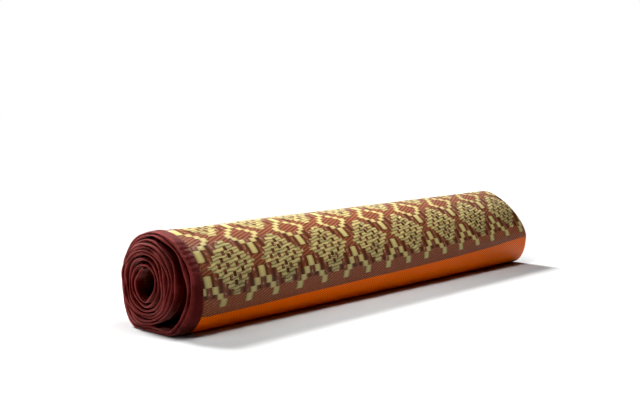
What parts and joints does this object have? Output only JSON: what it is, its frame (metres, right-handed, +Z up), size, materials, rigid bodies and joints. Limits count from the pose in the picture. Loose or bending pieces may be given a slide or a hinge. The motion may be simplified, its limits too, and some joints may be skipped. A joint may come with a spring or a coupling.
{
  "type": "rolled woven straw mat",
  "caption": "Outdoor rug of woven plastic straw, rolled up into a hollow-cored roll that lies on its side, with a tape binding along one long edge.",
  "frame": {"origin": "middle of the bounding box's bottom face, on the floor under the roll", "axes": "+X along the roll from its bound end to its plain end, +Z up, -Y to the right seen from the bound end"},
  "size_m": [0.6234, 0.1138, 0.0985],
  "materials": {
    "woven_straw": "woven plastic straw in cream, brown and orange, slightly glossy",
    "binding_tape": "matt woven tape, maroon"
  },
  "bodies": {
    "root": {"woven_mat": "woven_straw", "side_binding": "binding_tape"}
  },
  "joints": []
}
